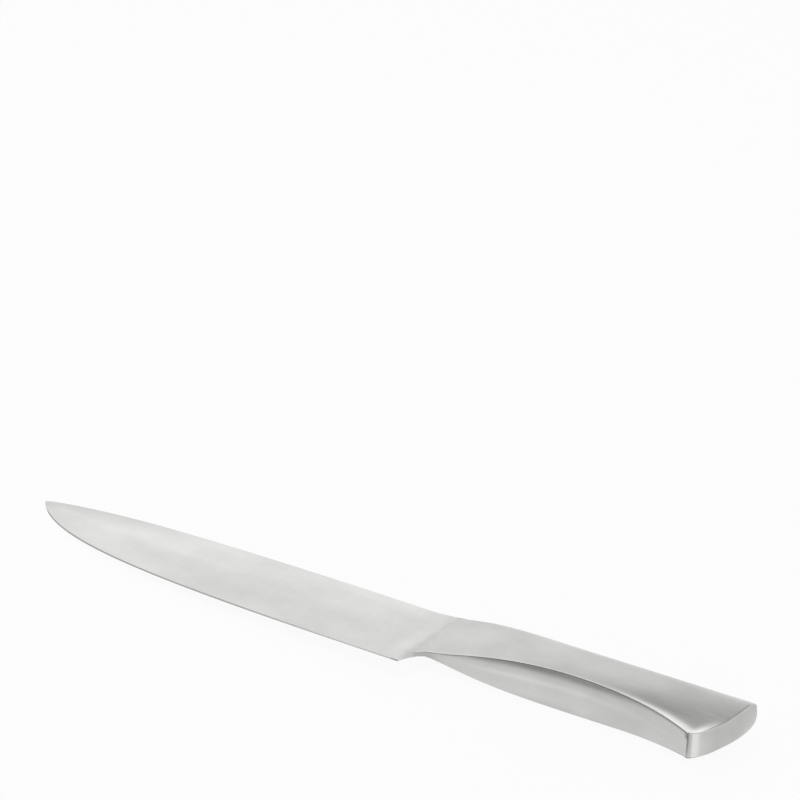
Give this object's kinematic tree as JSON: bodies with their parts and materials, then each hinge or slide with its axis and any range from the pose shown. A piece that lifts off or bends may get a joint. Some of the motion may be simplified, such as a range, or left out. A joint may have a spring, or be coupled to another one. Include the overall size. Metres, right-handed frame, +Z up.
{
  "type": "kitchen knife",
  "caption": "Broad kitchen slicing knife with a ground steel blade, a finger notch at the heel and a hollow welded steel handle with a fluted belly and a slanted butt.",
  "frame": {"origin": "middle of the box in X and Y, at its underside in Z: the knife lies on its right side", "axes": "+X from the tip to the butt, +Y from the edge to the spine, +Z up through the thickness, out of the left side"},
  "size_m": [0.33, 0.0402, 0.0171],
  "materials": {
    "blade_steel": "satin ground stainless steel with faint cloudy variation and a polished sharpened bevel",
    "handle_steel": "fine satin brushed along the handle, brighter along the ridges",
    "filler_resin": "dull cast resin"
  },
  "bodies": {
    "root": {"blade": "blade_steel", "handle_left_shell": "handle_steel", "handle_right_shell": "handle_steel", "butt_cap": "handle_steel", "handle_filler": "filler_resin"}
  },
  "joints": []
}
